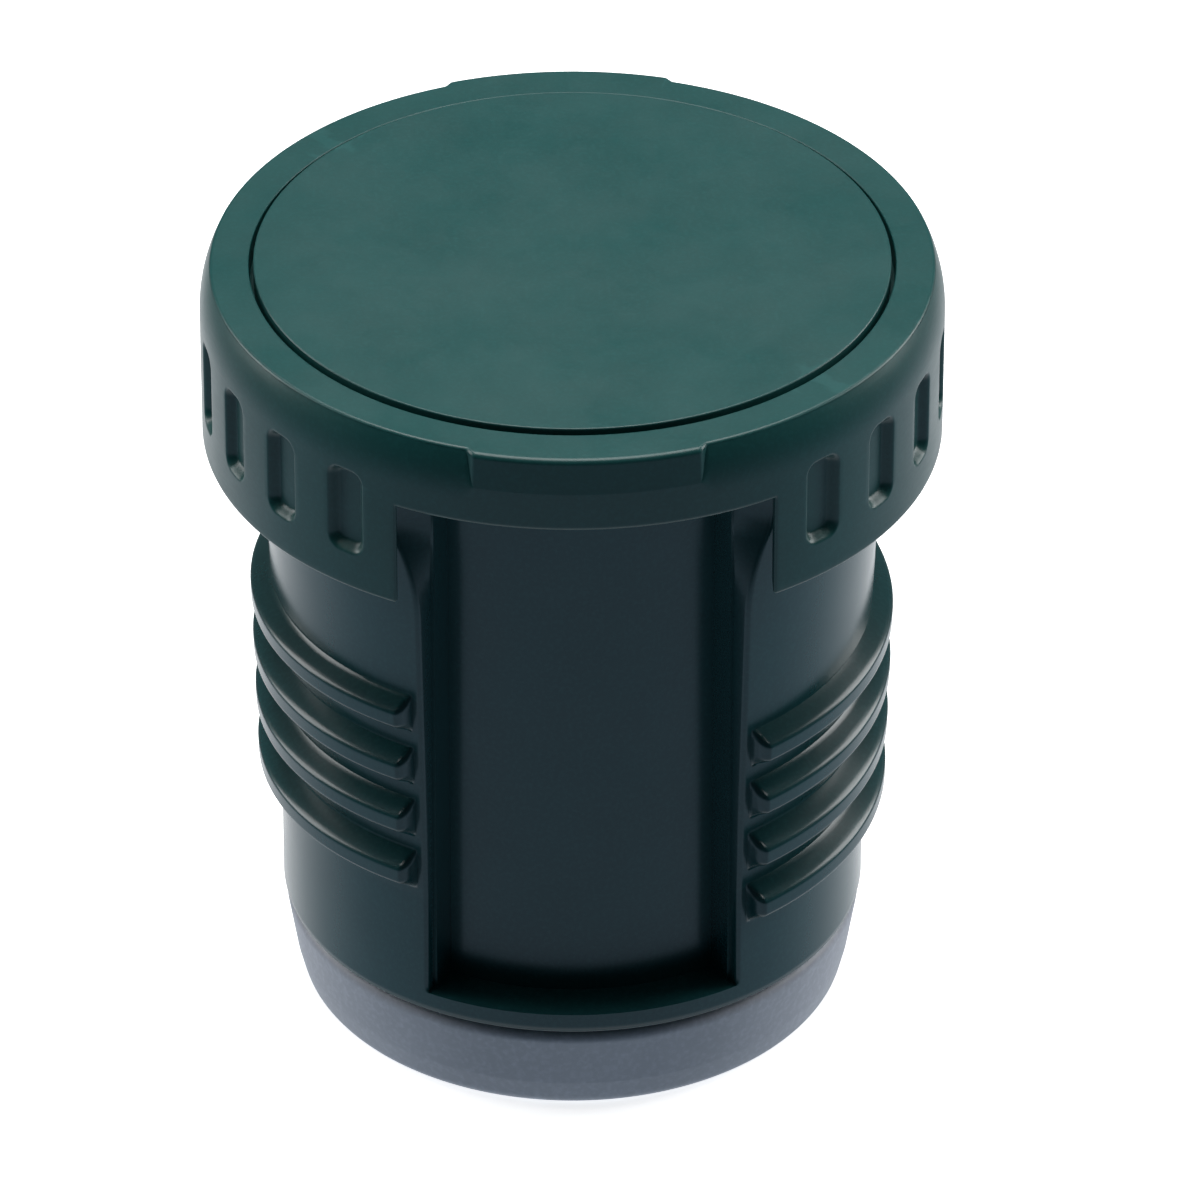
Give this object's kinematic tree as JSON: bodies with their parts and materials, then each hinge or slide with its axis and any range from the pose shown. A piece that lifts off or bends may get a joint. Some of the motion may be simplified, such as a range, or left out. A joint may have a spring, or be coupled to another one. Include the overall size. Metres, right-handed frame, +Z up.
{
  "type": "vacuum flask stopper",
  "caption": "Screw stopper for a vacuum flask, with a pocketed grip head, a threaded plug with two pour channels and a soft seal round its foot.",
  "frame": {"origin": "centre of the underside, in the plane of the seal's flat foot", "axes": "+Z up along the plug's axis, towards the grip head; -Y and +Y through the two pour channels, -Y the front"},
  "size_m": [0.058, 0.058, 0.0658],
  "materials": {
    "grip_green": "satin moulded plastic",
    "disc_green": "fine-textured moulded plastic",
    "plug_green": "semi-gloss moulded plastic",
    "foam": "closed-cell foam",
    "cap_green": "satin moulded plastic",
    "seal_grey": "matte silicone rubber"
  },
  "bodies": {
    "stopper": {"grip_head": "grip_green", "top_disc": "disc_green", "threaded_plug": "plug_green", "insulating_core": "foam", "base_cap": "cap_green"},
    "seal": {"bottom_seal": "seal_grey"}
  },
  "joints": [
    {"name": "seal_pull_off", "type": "slide", "parent": "stopper", "child": "seal", "axis": [0, 0, -1], "range_m": [0, 0.008]}
  ]
}
